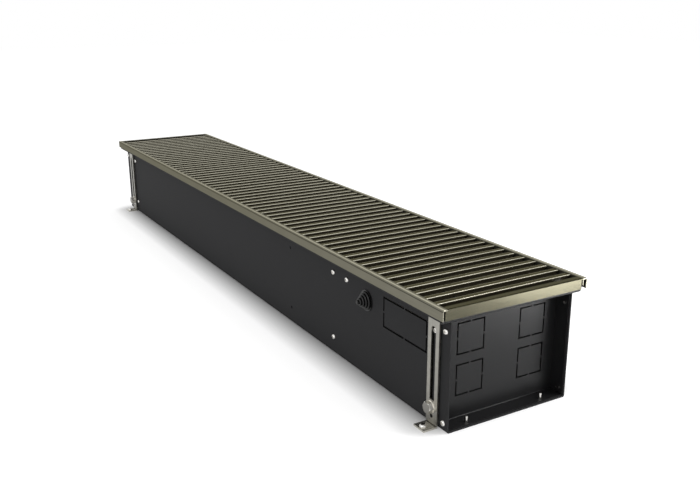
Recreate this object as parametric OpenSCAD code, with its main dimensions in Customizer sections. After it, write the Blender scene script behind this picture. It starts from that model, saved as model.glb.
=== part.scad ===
// Trench convector heater: a floor trough with a roll-out bar grille, a finned
// exchanger, a cross-flow fan unit and four adjustable side feet.
// X runs along the trough, +X to the connection bay, -Y to the cable gland side, +Z up.
// The origin is on the floor, under the middle of the trough. Millimetres.

/* [Trough] */
// Length of the trough body
trough_l = 1238; // [1180:1:1300]
// Width of the trough over its side walls
trough_w = 180; // [176:1:200]
// Height of the finished grille frame over the floor
overall_h = 155; // [150:1:180]
// Thickness of the folded steel sheet
sheet_t = 1.5; // [1.2:0.1:1.8]
// Depth of the open recess outside each end plate
end_recess = 22.5; // [21:0.5:30]
// Length of the connection bay, from the trough end to the bay partition's screws
bay_l = 261; // [240:1:300]

/* [Frame] */
// Overhang of the frame over each side wall
side_overhang = 16.5; // [14:0.5:20]
// Overhang of the frame over each end of the trough
end_overhang = 6; // [5:0.5:9]
// Height of the frame's outer face
face_h = 13; // [11:0.5:15]
// Wall thickness of the frame profile
frame_t = 1.5; // [1.2:0.1:1.8]
// Width of the frame's top rim along the sides
side_rim = 7; // [6:0.5:8]
// Width of the frame's top rim along the ends
end_rim = 9.5; // [8.5:0.5:12]

/* [Grille] */
// Distance from one grille bar to the next
bar_pitch = 20; // [16:0.5:24]
// Width of a grille bar's top flange
bar_w = 8.8; // [7:0.2:10]
// Height of a grille bar
bar_h = 13; // [11:0.5:15]
// Distance of each link spring from the centre line
link_y = 58; // [40:1:70]

/* [Knock-outs] */
// Side of a square knock-out in the end plates
knock_s = 40; // [30:1:44]
// Length of the knock-out in the side wall
side_knock_l = 92; // [80:1:95]
// Height of the knock-out in the side wall
side_knock_h = 40; // [30:1:42]
// Width of the slit around a knock-out
slit_w = 1.8; // [1:0.1:2.4]

/* [Feet] */
// Width of a foot rail
rail_w = 21; // [20:0.5:26]
// Width of the long slot in a foot rail
slot_w = 8.6; // [8.4:0.1:9]
// Reach of a foot's floor tab beyond its rail
tab_l = 17.5; // [15:0.5:26]
// Thickness of a foot
foot_t = 2.1; // [1.8:0.1:2.4]
// Height of the clamp nut over the floor
clamp_z = 24.5; // [23:0.5:27]

/* [Exchanger] */
// Distance from one fin to the next
fin_pitch = 7; // [5:0.5:10]
// Width of a fin
fin_w = 66; // [60:1:70]
// Height of a fin
fin_h = 75; // [70:1:80]
// Outer diameter of the copper tube
tube_d = 12; // [10:0.5:14]
// Height of the exchanger's middle over the floor
exchanger_z = 62; // [58:1:66]
// Distance of the exchanger's middle behind the centre line
exchanger_y = 44; // [42:1:47]

/* [Fan] */
// Diameter of a fan roller
roller_d = 44; // [38:1:46]
// Number of blades on a fan roller
blade_count = 22; // [14:1:26]
// Diameter of the fan shaft
shaft_d = 6; // [5:0.5:8]
// Diameter of the fan motor
motor_d = 58; // [50:1:62]
// Length of the fan motor
motor_l = 60; // [50:1:70]

/* [Hidden] */
$fn = 48;

// Colours
black = [0.10, 0.10, 0.11];
bronze = [0.44, 0.42, 0.35];
zinc = [0.66, 0.65, 0.62];
steel = [0.75, 0.75, 0.74];
copper = [0.72, 0.43, 0.27];
fin_silver = [0.78, 0.79, 0.80];
rubber = [0.06, 0.06, 0.06];
plastic_grey = [0.30, 0.31, 0.32];
plastic_white = [0.88, 0.88, 0.86];
nickel = [0.72, 0.70, 0.66];

// Overrun of a cut past the face it goes through, and the points on each rounded corner
cut = 1;
corner_steps = 4;

// Trough: places of its walls, flanges and screws
half_l = trough_l / 2;
half_w = trough_w / 2;
inner_y = half_w - sheet_t;
lip_show = 4.5;
lip_setback = 2.2;
bend_r = 0.8;
flange_z = overall_h - face_h - lip_show;
frame_half_l = half_l + end_overhang;
frame_half_w = half_w + side_overhang;
lip_y = frame_half_w - lip_setback;
lip_x = frame_half_l - lip_setback;
lip_top = overall_h - frame_t;
flange_top = flange_z + sheet_t;
web_x = half_l - end_recess;
screw_low_z = 24;
screw_high_drop = 19;
screw_high_z = flange_z - screw_high_drop;
bay_screw_x = half_l - bay_l;
far_screw_inset = 62;
far_screw_x = -half_l + far_screw_inset;
spare_hole_out = 131;
spare_hole_x = bay_screw_x - spare_hole_out;
spare_hole_d = 4.5;

// Screws that hold the sheet parts: button head, shank and place on the end flanges
head_d = 7.6;
head_h = 2.6;
shank_d = 4;
shank_in = 4.2;
hole_d = 4.2;
end_screw_inset = 8;
end_screw_x = half_l - end_screw_inset;
end_screw_low_z = 10.3;
end_screw_high_drop = 14.5;
end_screw_high_z = flange_z - end_screw_high_drop;
floor_screw_y = 57;
floor_screw_up = 7.5;
recess_d = 3.2;
recess_h = 1.5;

// End plates: a flange on each side of the recess
end_flange_short = 2;
end_flange = end_recess - end_flange_short;
relief = 1;
fit = 0.2;
lip_far_y = frame_half_w - side_rim - fit;
lip_near_y = lip_y - fit;
knock_tab = 2.4;
knock_near_y = -43.4;
knock_far_y = 49.3;
knock_low_z = 50.4;
knock_high_drop = 35.3;
knock_high_z = flange_z - knock_high_drop;

// Side wall: knock-out and cable gland
side_knock_inset = 90;
side_knock_x = half_l - side_knock_inset;
side_knock_drop = 34.5;
side_knock_z = flange_z - side_knock_drop;
gland_inset = 175.3;
gland_x = half_l - gland_inset;
gland_drop = 32.1;
gland_z = flange_z - gland_drop;
gland_d = 27.6;
gland_hole_d = 20;
gland_out = 15.5;
gland_rim = 1.6;
gland_tip_d = 5;
gland_steps = 5;
gland_back = 3;

// Frame profile
inner_leg_t = 1.2;
inner_leg_h = 8.5;
edge_r = 0.5;
groove_out = 0.6;
groove_w = 0.7;
groove_deep = 0.7;
leg_cut = 14;
corner_gap = 2.1;
end_face_short = 9.4;

// Grille: bars lie on the seat strips, a little below the rim
strip_t = 2.1;
strip_w = 6.5;
strip_gap = 0.8;
bar_clear = 0.3;
bar_bottom = flange_top + strip_t;
bar_half_l = frame_half_w - side_rim - bar_clear;
flange_thick = 1.6;
bar_edge_r = 1.3;
bar_web = 2;
bar_foot_w = 6.4;
bar_foot_t = 1.3;
opening_half_l = frame_half_l - end_rim;
bar_side = floor((opening_half_l - bar_w / 2 - bar_clear) / bar_pitch);
spring_d = 4;
spring_hole_d = 4.6;
spacer_d = 6;
spacer_gap = 0.1;
link_z = bar_bottom + bar_foot_t + spacer_d / 2 + spacer_gap;
link_over = 2;

// Foot rails, the feet that slide behind them, and their clamps
rail_t = 1.7;
slide_fit = 0.1;
rail_gap = foot_t + 2 * slide_fit;
leg_inset = 2;
leg_t = 1.5;
near_rail_inset = 26;
far_rail_inset = 40;
rail_x = half_l - near_rail_inset;
far_rail_x = half_l - far_rail_inset;
foot_bend_r = 1;
tab_gap = foot_bend_r + slide_fit;
rail_bottom = foot_t + tab_gap;
rail_drop = 2.4;
rail_top = flange_z - rail_drop;
washer_d = 15;
washer_t = 1.6;
slot_over = 0.6;
slot_low_z = clamp_z + washer_d / 2 + slot_over;
slot_high_drop = 18.2;
slot_high_z = flange_z - slot_high_drop;
rail_face = half_w + rail_gap + rail_t;
rail_screw_drop = 19.4;
rail_screw_z = flange_z - rail_screw_drop;
clamp_d = 8;
clamp_head_af = 13;
clamp_head_h = 6.5;
hex_flat_share = 0.95;
clamp_hole_d = 8.4;
spare_foot_hole_d = 5;
spare_foot_hole_z = 12.4;
fork_fit = 0.1;
fork_w = slot_w + 2 * fork_fit;
neck_w = rail_w - 2 * (leg_inset + leg_t + fit);
foot_top_gap = 3;
foot_top = rail_screw_z - head_d / 2 - foot_top_gap;
tab_short = 0.5;
tab_w = rail_w - 2 * tab_short;
anchor_hole_d = 5.4;
anchor_d = 5;
anchor_head_d = 9.6;
anchor_head_h = 3;
anchor_out = 11.1;
anchor_y = rail_face + anchor_out;

// Exchanger and its partitions
fin_t = 0.6;
collar_wall = 0.5;
tube_wall = 0.8;
tube_fit = 0.05;
row_y = fin_w / 4;
row_z = fin_h / 4;
partition_t = 1.2;
partition_flange = 15;
partition_clear = 0.3;
partition_half_y = inner_y;
partition_drop = 1.4;
partition_top = flange_z - partition_drop;
cable_notch_r = 9;
bay_web_x = bay_screw_x + partition_flange / 2;
far_web_x = far_screw_x - partition_flange / 2;
fin_end_gap = 4;
tube_out = 26;
bend_start = 3;
right_bend_start = 6;

// Air vent on the exchanger's upper bend
vent_d = 10;
vent_h = 14;
vent_saddle = 3;
vent_collar_t = 1.5;
vent_screw_d = 5;
vent_screw_l = 8;
vent_screw_up = 8;
driver_slot = 0.9;

// Fan unit
fan_y = -46;
fan_z = 46;
roller_gap = 10;
roller_chambers = 4;
disc_t = 1.2;
blade_depth = 4.6;
blade_t = 0.7;
blade_sweep = 16;
shaft_fit = 0.06;
shaft_over = 16;
scroll_t = 1;
scroll_start = 112;
scroll_end = 270;
scroll_steps = 14;
scroll_gap = 3.4;
scroll_growth = 8.5;
mouth_y = -8;
tongue_angle = 18;
tongue_l = 13;
tongue_rise = 42;
cheek_t = 1.2;
cheek_top_up = 36;
cheek_front = 37;
cheek_corner = 12;
cheek_foot = 10;
cheek_clear = 4;
cheek_hole_d = 10;
bush_d = 16;
bush_l = 8;
cradle_w = 42;
cradle_l = 36;
cradle_wall = 2;
cradle_wrap = 10;
boss_d = 20;
boss_l = 4;
motor_rib = 1.2;
motor_shift = 4.5;
roller_room = 73;
motor_x = (bay_web_x + far_web_x) / 2 - motor_shift;
roller_l = (bay_web_x - far_web_x) / 2 - motor_l / 2 - roller_gap - roller_room;

// Terminal box on the front wall of the bay
box_l = 54;
box_w = 30;
box_h = 62;
box_wall = 2;
box_out = 14;
box_x = bay_screw_x + box_out;
box_screw_in = 22.5;
box_screw_x = box_x + box_screw_in;
box_drop = 11.5;
box_z = flange_z - box_drop - box_h;
box_lid_t = 2.4;
box_lid_lip = 1;

// Valves on the two lower tube ends
valve_gap = 12;
nut_af = 22;
nut_l = 12;
valve_d = 21;
valve_l = 40;
bonnet_d = 17;
bonnet_up = 27;
rim_h = 1.5;
knob_d = 29;
knob_h = 20;
knob_flutes = 18;
knob_flute_d = 3;
knob_gap = 0.3;
cap_d = 20;
cap_h = 12;
cap_af = 15;
tail_d = 20.95;
tail_l = 14;
tail_bore_d = 12;
neck_d = 16;
neck_l = 6;

// Plane corner of a folded or rounded outline: arc points at b between a and c
function unit(v) = v / norm(v);
function left_of(v) = [-v[1], v[0]];
function turn(u, v) = u[0] * v[1] - u[1] * v[0];
function corner(a, b, c, r) =
    let (u = unit(b - a), v = unit(c - b))
    [for (i = [0:corner_steps])
        let (s = 90 * i / corner_steps)
        b + (v - u) * r - v * r * cos(s) + u * r * sin(s)];

// One edge of a folded sheet: fold radius depends on which way the sheet turns
function edge(p, r_left, r_right) =
    [p[0],
     for (i = [1:len(p) - 2])
        let (left = turn(p[i] - p[i - 1], p[i + 1] - p[i]) > 0)
        each corner(p[i - 1], p[i], p[i + 1], left ? r_left : r_right),
     p[len(p) - 1]];

// The same line moved t to its left, for lines with square corners
function shifted(p, t) =
    [for (i = [0:len(p) - 1])
        let (a = i == 0 ? [0, 0] : left_of(unit(p[i] - p[i - 1])),
             b = i == len(p) - 1 ? [0, 0] : left_of(unit(p[i + 1] - p[i])))
        p[i] + t * (a + b)];

function reversed(p) = [for (i = [len(p) - 1:-1:0]) p[i]];

// Section of a sheet of thickness t, folded along the square-cornered line p
module folded(p, t, r) {
    polygon(concat(edge(p, r + t, r), reversed(edge(shifted(p, t), r, r + t))));
}

// Places a section drawn in Y and Z along X, from x0 to x1
module along_x(x0, x1) {
    translate([x0, 0, 0]) rotate([90, 0, 90]) linear_extrude(x1 - x0) children();
}

// Places a section drawn in X and Z along Y, from y0 to y1
module along_y(y0, y1) {
    translate([0, y1, 0]) rotate([90, 0, 0]) linear_extrude(y1 - y0) children();
}

module box(x0, x1, y0, y1, z0, z1) {
    translate([x0, y0, z0]) cube([x1 - x0, y1 - y0, z1 - z0]);
}

module rod_x(x0, x1, d) {
    translate([x0, 0, 0]) rotate([0, 90, 0]) cylinder(h = x1 - x0, d = d);
}

module rod_y(y0, y1, d) {
    translate([0, y0, 0]) rotate([-90, 0, 0]) cylinder(h = y1 - y0, d = d);
}

module turned_round() {
    rotate([0, 0, 180]) children();
}

// Slits round a knock-out of size w by h, with a tab left in the middle of each side
module slits(w, h) {
    difference() {
        square([w, h], center = true);
        square([w - 2 * slit_w, h - 2 * slit_w], center = true);
        square([knock_tab, h + cut], center = true);
        square([w + cut, knock_tab], center = true);
    }
}

// Button-head screw with its head's underside at the origin, pointing along +Z
module button_screw(d, length, head_d, head_h) {
    difference() {
        union() {
            rotate_extrude() polygon(concat([[0, 0], [head_d / 2, 0]],
                [for (i = [1:corner_steps])
                    let (s = 90 * i / corner_steps)
                    [head_d / 2 * (cos(s) + 1) / 2, -head_h * sin(s)]],
                [[0, -head_h]]));
            cylinder(h = length, d = d);
        }
        translate([0, 0, -head_h - cut]) cylinder(h = recess_h + cut, d = recess_d);
    }
}

// Hexagon head with its top corners turned off, standing on the origin
module hex_head(flats, height) {
    corner_r = flats / 2 / cos(30);
    flat_r = flats / 2 * hex_flat_share;
    intersection() {
        cylinder(h = height, r = corner_r, $fn = 6);
        rotate_extrude() polygon([[0, 0], [corner_r, 0],
            [corner_r, height - (corner_r - flat_r) * tan(30)], [flat_r, height], [0, height]]);
    }
}

module trough_shell() {
    color(black) difference() {
        along_x(-half_l, half_l) folded([
            [-lip_y, lip_top], [-lip_y, flange_z], [-half_w, flange_z], [-half_w, 0],
            [half_w, 0], [half_w, flange_z], [lip_y, flange_z], [lip_y, lip_top]],
            sheet_t, bend_r);
        along_front_wall() {
            translate([side_knock_x, side_knock_z]) slits(side_knock_l, side_knock_h);
            translate([gland_x, gland_z]) circle(d = gland_hole_d);
            translate([box_screw_x, screw_high_z]) circle(d = hole_d);
            for (z = [screw_low_z, screw_high_z])
                translate([spare_hole_x, z]) circle(d = spare_hole_d);
        }
        for (side = [0, 180]) rotate([0, 0, side]) {
            along_front_wall() {
                for (x = [-end_screw_x, end_screw_x], z = [end_screw_low_z, end_screw_high_z])
                    translate([x, z]) circle(d = hole_d);
                for (x = [-far_rail_x, rail_x])
                    translate([x, rail_screw_z]) circle(d = hole_d);
            }
            for (y = [-floor_screw_y, floor_screw_y])
                translate([end_screw_x, y, -cut]) cylinder(h = sheet_t + 2 * cut, d = hole_d);
        }
        for (x = [bay_screw_x, far_screw_x], z = [screw_low_z, screw_high_z])
            translate([x, 0, z]) rod_y(-half_w - cut, half_w + cut, hole_d);
    }
}

// Cuts the drawn outline, in X and Z, through the front wall
module along_front_wall() {
    along_y(-half_w - cut, -inner_y + cut) children();
}

// An end plate at the +X end: web, flanges round the recess, and a lip for the frame
module end_plate() {
    color(black) difference() {
        union() {
            along_y(-inner_y, inner_y) folded([
                [web_x + end_flange, 2 * sheet_t], [web_x, 2 * sheet_t],
                [web_x, flange_z], [half_l + bend_r, flange_z]], sheet_t, bend_r);
            along_y(-lip_near_y, lip_far_y) folded([
                [half_l + fit, flange_z], [lip_x, flange_z], [lip_x, lip_top]], sheet_t, bend_r);
            for (y = [-inner_y, inner_y - sheet_t])
                box(web_x - sheet_t, web_x + end_flange, y, y + sheet_t,
                    2 * sheet_t + relief, flange_z - relief);
        }
        along_plate() for (y = [knock_near_y, knock_far_y], z = [knock_low_z, knock_high_z])
            translate([y, z]) slits(knock_s, knock_s);
        for (z = [end_screw_low_z, end_screw_high_z])
            translate([end_screw_x, 0, z]) rod_y(-half_w, half_w, hole_d);
        for (y = [-floor_screw_y, floor_screw_y])
            translate([end_screw_x, y, 0]) cylinder(h = 2 * sheet_t + cut, d = hole_d);
    }
}

// Cuts the drawn outline, in Y and Z, through the end plate's web
module along_plate() {
    along_x(web_x - sheet_t - cut, web_x + cut) children();
}

module end_plate_right() {
    end_plate();
}

module end_plate_left() {
    turned_round() end_plate();
}

// Frame section with its outer face at the origin, drawn to the right and up to the top,
// with a fine groove between the rim and the face
module frame_top(rim) {
    polygon(concat(
        [[0, overall_h - face_h]],
        corner([0, overall_h - face_h], [0, overall_h], [rim, overall_h], edge_r),
        [[groove_out, overall_h], [groove_out, overall_h - groove_deep],
         [groove_out + groove_w, overall_h - groove_deep], [groove_out + groove_w, overall_h]],
        corner([0, overall_h], [rim, overall_h], [rim, overall_h - inner_leg_h], edge_r / 2),
        [[rim, overall_h - inner_leg_h], [rim - inner_leg_t, overall_h - inner_leg_h],
         [rim - inner_leg_t, lip_top], [frame_t, lip_top], [frame_t, overall_h - face_h]]));
}

// The front side frame. Its inner leg is cut back at +X, where the end frame's face tucks in
module frame_side() {
    color(bronze) difference() {
        translate([0, -frame_half_w, 0]) along_x(-frame_half_l, frame_half_l) frame_top(side_rim);
        box(frame_half_l - leg_cut, frame_half_l + cut,
            -frame_half_w + frame_t + fit, -frame_half_w + side_rim + cut,
            lip_top - inner_leg_h, lip_top);
    }
}

module frame_side_front() {
    frame_side();
}

module frame_side_rear() {
    turned_round() frame_side();
}

// The end frame at +X: its top butts against the side frames and its face runs in between
module frame_end() {
    top_y = frame_half_w - side_rim - fit;
    color(bronze) difference() {
        union() {
            along_y(-top_y, top_y) translate([frame_half_l, 0]) mirror([1, 0]) frame_top(end_rim);
            box(frame_half_l - frame_t, frame_half_l, -frame_half_w + frame_t + corner_gap,
                -top_y + cut, overall_h - face_h, lip_top - fit);
        }
        box(frame_half_l - frame_t - cut, frame_half_l + cut, frame_half_w - end_face_short,
            top_y + cut, overall_h - face_h - cut, lip_top);
    }
}

module frame_end_right() {
    frame_end();
}

module frame_end_left() {
    turned_round() frame_end();
}

module grille_seat_strips() {
    y = frame_half_w - side_rim - strip_gap;
    color(rubber) for (side = [0, 180]) rotate([0, 0, side])
        box(-half_l + strip_w, half_l - strip_w, y - strip_w, y, flange_top, bar_bottom);
}

// Bar section: a double-T, its foot on the seat strips
module bar_section() {
    top = bar_bottom + bar_h;
    difference() {
        union() {
            polygon(concat(
                [[-bar_w / 2, top - flange_thick]],
                corner([-bar_w / 2, top - flange_thick], [-bar_w / 2, top],
                    [bar_w / 2, top], bar_edge_r),
                corner([-bar_w / 2, top], [bar_w / 2, top],
                    [bar_w / 2, top - flange_thick], bar_edge_r),
                [[bar_w / 2, top - flange_thick]]));
            translate([-bar_web / 2, bar_bottom]) square([bar_web, bar_h - flange_thick / 2]);
            translate([-bar_foot_w / 2, bar_bottom]) square([bar_foot_w, bar_foot_t]);
        }
    }
}

module grille_bars() {
    color(bronze) for (i = [-bar_side:bar_side]) translate([i * bar_pitch, 0, 0])
        difference() {
            along_y(-bar_half_l, bar_half_l) bar_section();
            for (y = [-link_y, link_y]) translate([0, y, link_z])
                rod_x(-bar_w / 2, bar_w / 2, spring_hole_d);
        }
}

module grille_link_springs() {
    reach = bar_side * bar_pitch + bar_web / 2 + link_over;
    color(steel) for (y = [-link_y, link_y]) translate([0, y, link_z])
        rod_x(-reach, reach, spring_d);
}

module grille_spacers() {
    half = (bar_pitch - bar_web) / 2 - spacer_gap;
    color(rubber) for (i = [-bar_side:bar_side - 1], y = [-link_y, link_y])
        translate([(i + 0.5) * bar_pitch, y, link_z]) difference() {
            rod_x(-half, half, spacer_d);
            rod_x(-half - cut, half + cut, spring_hole_d);
        }
}

// Foot rail on the front wall: a slotted plate on two legs, with a hole for the clamp's stud
module foot_rail() {
    leg_x = rail_w / 2 - leg_inset;
    color(zinc) difference() {
        union() {
            box(-rail_w / 2, rail_w / 2, -rail_face, -rail_face + rail_t, rail_bottom, rail_top);
            for (x = [-leg_x, leg_x - leg_t])
                box(x, x + leg_t, -rail_face, -half_w, rail_bottom, rail_top);
        }
        along_y(-rail_face - cut, -rail_face + rail_t + cut) {
            translate([0, slot_high_z]) circle(d = slot_w);
            translate([-slot_w / 2, slot_low_z]) square([slot_w, slot_high_z - slot_low_z]);
            translate([0, clamp_z]) circle(d = clamp_hole_d);
            translate([0, spare_foot_hole_z]) circle(d = spare_foot_hole_d);
        }
    }
}

// Foot: a forked tongue that slides between the rail and the wall, folded out to a floor tab
module foot() {
    back_y = -half_w - slide_fit;
    color(zinc) difference() {
        union() {
            along_x(-neck_w / 2, neck_w / 2)
                folded([[-rail_face - tab_l, 0], [back_y, 0], [back_y, foot_top]],
                    foot_t, foot_bend_r);
            box(-tab_w / 2, tab_w / 2, -rail_face - tab_l, -rail_face + rail_t, 0, foot_t);
        }
        along_y(-rail_face, -half_w + cut) {
            translate([0, clamp_z]) circle(d = fork_w);
            translate([-fork_w / 2, clamp_z]) square([fork_w, foot_top - clamp_z + cut]);
            translate([0, spare_foot_hole_z]) circle(d = spare_foot_hole_d);
        }
        translate([0, -anchor_y, -cut]) cylinder(h = foot_t + 2 * cut, d = anchor_hole_d);
    }
}

// Clamp: a stud welded to the wall, its closed hexagon nut and a washer on the rail
module foot_clamp() {
    color(steel) translate([0, 0, clamp_z]) {
        rod_y(-rail_face - washer_t, -half_w, clamp_d);
        translate([0, -rail_face - washer_t, 0]) rotate([90, 0, 0])
            hex_head(clamp_head_af, clamp_head_h);
        difference() {
            rod_y(-rail_face - washer_t, -rail_face, washer_d);
            rod_y(-rail_face - washer_t - cut, -rail_face + cut, clamp_d + fit);
        }
    }
}

// Anchor screw through the floor tab
module anchor_screw() {
    color(zinc) translate([0, -anchor_y, foot_t]) difference() {
        union() {
            rotate_extrude() polygon(concat([[0, 0], [anchor_head_d / 2, 0]],
                [for (i = [1:corner_steps])
                    let (s = 90 * i / corner_steps)
                    [anchor_head_d / 2 * (cos(s) + 1) / 2, anchor_head_h * sin(s)]],
                [[0, anchor_head_h]]));
            translate([0, 0, -foot_t]) cylinder(h = foot_t, d = anchor_d);
        }
        for (turn_by = [0, 90]) rotate([0, 0, turn_by])
            box(-anchor_d / 2, anchor_d / 2, -driver_slot / 2, driver_slot / 2,
                anchor_head_h - recess_h, anchor_head_h + cut);
    }
}

// The two ends are alike, turned half round, so each rail near one end's corner is
// set further in at the other corner of that wall
module at_front_right() { translate([rail_x, 0, 0]) children(); }
module at_front_left() { translate([-far_rail_x, 0, 0]) children(); }
module at_rear_right() { turned_round() at_front_left() children(); }
module at_rear_left() { turned_round() at_front_right() children(); }

// Screw on the wall at the top of each rail's slot
module rail_screws() {
    color(steel) for (side = [0, 180]) rotate([0, 0, side]) for (x = [-far_rail_x, rail_x])
        translate([x, -half_w, rail_screw_z]) rotate([-90, 0, 0])
            button_screw(shank_d, sheet_t, head_d, head_h);
}

module end_plate_screws() {
    color(steel) for (side = [0, 180]) rotate([0, 0, side]) {
        for (x = [-end_screw_x, end_screw_x], z = [end_screw_low_z, end_screw_high_z])
            translate([x, -half_w, z]) rotate([-90, 0, 0])
                button_screw(shank_d, shank_in, head_d, head_h);
        for (y = [-floor_screw_y, floor_screw_y])
            translate([end_screw_x, y, 0]) cylinder(h = 2 * sheet_t + floor_screw_up, d = shank_d);
    }
}

module partition_screws() {
    color(steel) {
        for (side = [-1, 1], x = [bay_screw_x, far_screw_x], z = [screw_low_z, screw_high_z])
            translate([x, side * half_w, z]) rotate([side * 90, 0, 0])
                button_screw(shank_d, shank_in, head_d, head_h);
        translate([box_screw_x, -half_w, screw_high_z]) rotate([-90, 0, 0])
            button_screw(shank_d, sheet_t + box_wall, head_d, head_h);
    }
}

// Stepped rubber gland, turned about its axis through the front wall
module cable_gland() {
    step_h = (gland_out - gland_rim) / gland_steps;
    step_r = (gland_d - gland_tip_d) / 2 / gland_steps;
    neck = gland_hole_d / 2;
    color(rubber) translate([gland_x, -half_w, gland_z]) rotate([90, 0, 0]) rotate_extrude()
        polygon(concat(
            [[0, -sheet_t - gland_back], [neck + gland_back / 2, -sheet_t - gland_back],
             [neck + gland_back, -sheet_t], [neck, -sheet_t], [neck, 0],
             [gland_d / 2, 0], [gland_d / 2, gland_rim]],
            [for (i = [0:gland_steps - 1]) let (r = gland_d / 2 - (i + 1) * step_r, z = gland_rim + i * step_h) each
                [[r - step_r / 5, z], [r + step_r / 4, z + step_h / 3],
                 [r + step_r / 5, z + step_h * 2 / 3], [r - step_r / 3, z + step_h]]],
            [[0, gland_out]]));
}

// A cross plate with its web at x, flanged towards dir, with two or four tube holes
module partition(x, dir) {
    color(zinc) difference() {
        union() {
            box(min(x, x + dir * partition_t), max(x, x + dir * partition_t),
                -partition_half_y, partition_half_y, sheet_t, partition_top);
            for (y = [-partition_half_y, partition_half_y - partition_t])
                box(min(x, x + dir * partition_flange), max(x, x + dir * partition_flange),
                    y, y + partition_t, sheet_t + relief, partition_top);
        }
        for (y = [-row_y, row_y], z = [-row_z, row_z])
            translate([0, exchanger_y + y, exchanger_z + z])
                rod_x(x - partition_flange, x + partition_flange, tube_d + 2 * tube_fit);
        for (z = [screw_low_z, screw_high_z]) translate([x + dir * partition_flange / 2, 0, z])
            rod_y(-half_w, half_w, hole_d);
        along_x(x - partition_flange, x + partition_flange)
            translate([fan_y, partition_top - cable_notch_r]) union() {
                circle(r = cable_notch_r);
                translate([-cable_notch_r, 0]) square([2 * cable_notch_r, cable_notch_r + cut]);
            }
    }
}
module partition_right() {
    partition(bay_web_x, -1);
}

module partition_left() {
    partition(far_web_x, 1);
}

// Fins on four collars that space them along the tubes
module exchanger_fins() {
    x0 = far_web_x + partition_t + fin_end_gap;
    x1 = bay_web_x - partition_t - fin_end_gap;
    count = floor((x1 - x0 - fin_t) / fin_pitch);
    start = (x0 + x1 - count * fin_pitch - fin_t) / 2;
    stop = start + count * fin_pitch + fin_t;
    color(fin_silver) translate([0, exchanger_y, exchanger_z]) difference() {
        union() {
            for (i = [0:count]) box(start + i * fin_pitch, start + i * fin_pitch + fin_t,
                -fin_w / 2, fin_w / 2, -fin_h / 2, fin_h / 2);
            for (y = [-row_y, row_y], z = [-row_z, row_z]) translate([0, y, z])
                rod_x(start, stop, tube_d + 2 * (collar_wall + tube_fit));
        }
        for (y = [-row_y, row_y], z = [-row_z, row_z]) translate([0, y, z])
            rod_x(start - cut, stop + cut, tube_d + 2 * tube_fit);
    }
}

// Half ring about the origin that joins tubes r below and r above it, bulging along +X
module half_bend(r, d) {
    rotate([90, 0, 0]) rotate([0, 0, -90]) rotate_extrude(angle = 180) translate([r, 0]) circle(d = d);
}

module tube_run(d, grow) {
    left_x = far_web_x - bend_start;
    right_x = bay_web_x + right_bend_start;
    for (y = [-row_y, row_y]) {
        translate([0, y, -row_z]) rod_x(left_x, bay_web_x + tube_out + grow, d);
        translate([0, y, row_z]) rod_x(left_x, right_x, d);
        translate([left_x, y, 0]) rotate([0, 0, 180]) half_bend(row_z, d);
    }
    translate([right_x, 0, row_z]) rotate([90, 0, 0]) half_bend(row_y, d);
}

module exchanger_tubes() {
    color(copper) translate([0, exchanger_y, exchanger_z]) difference() {
        tube_run(tube_d, 0);
        tube_run(tube_d - 2 * tube_wall, cut);
    }
}

// Vent stub on the top of the upper bend, with a cross bore for the bleed screw
vent_x = bay_web_x + right_bend_start + row_y;
vent_z = exchanger_z + row_z + tube_d / 2;
module air_vent() {
    color(nickel) difference() {
        translate([vent_x, exchanger_y, vent_z]) union() {
            translate([0, 0, -vent_saddle]) cylinder(h = vent_h + vent_saddle, d = vent_d);
            translate([0, 0, vent_h - vent_collar_t]) cylinder(h = vent_collar_t, d = vent_d + sheet_t);
        }
        translate([bay_web_x + right_bend_start, exchanger_y, exchanger_z + row_z])
            rotate([90, 0, 0]) half_bend(row_y, tube_d + 2 * tube_fit);
        translate([vent_x, exchanger_y, vent_z + vent_screw_up])
            rod_x(0, vent_d, vent_screw_d + 2 * shaft_fit);
    }
}

module bleed_screw() {
    color(nickel) translate([vent_x, exchanger_y, vent_z + vent_screw_up]) difference() {
        union() {
            rod_x(fit, vent_screw_l, vent_screw_d);
            rod_x(vent_d / 2 + fit + sheet_t, vent_screw_l + sheet_t, vent_screw_d + sheet_t);
        }
        box(vent_screw_l, vent_screw_l + sheet_t + cut, -vent_screw_d, vent_screw_d,
            -driver_slot / 2, driver_slot / 2);
    }
}

// Fan rollers run from the motor outwards, one on each side
roller_near = motor_l / 2 + roller_gap;
roller_far = roller_near + roller_l;
function scroll_r(s) = roller_d / 2 + scroll_gap
    + scroll_growth * (s - scroll_start) / (scroll_end - scroll_start);
function scroll_arc(out) = [for (i = [0:scroll_steps])
    let (s = scroll_start + (scroll_end - scroll_start) * i / scroll_steps,
         r = scroll_r(s) + out)
    [r * cos(s), r * sin(s)]];

module scroll_section() {
    floor_z = -scroll_r(scroll_end);
    reach = mouth_y - fan_y;
    polygon(concat(scroll_arc(0), [[reach, floor_z], [reach, floor_z - scroll_t]],
        reversed(scroll_arc(scroll_t))));
    rotate(tongue_angle) translate([roller_d / 2 + scroll_gap, 0]) rotate(tongue_rise - tongue_angle)
        square([tongue_l, scroll_t]);
}

module cheek_section() {
    low = sheet_t - fan_z;
    reach = mouth_y - fan_y;
    difference() {
        polygon([[-cheek_front, low], [reach, low], [reach, cheek_top_up - cheek_corner],
            [reach - cheek_corner, cheek_top_up], [-cheek_front + cheek_corner, cheek_top_up],
            [-cheek_front, cheek_top_up - cheek_corner]]);
        circle(d = cheek_hole_d);
    }
}

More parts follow.
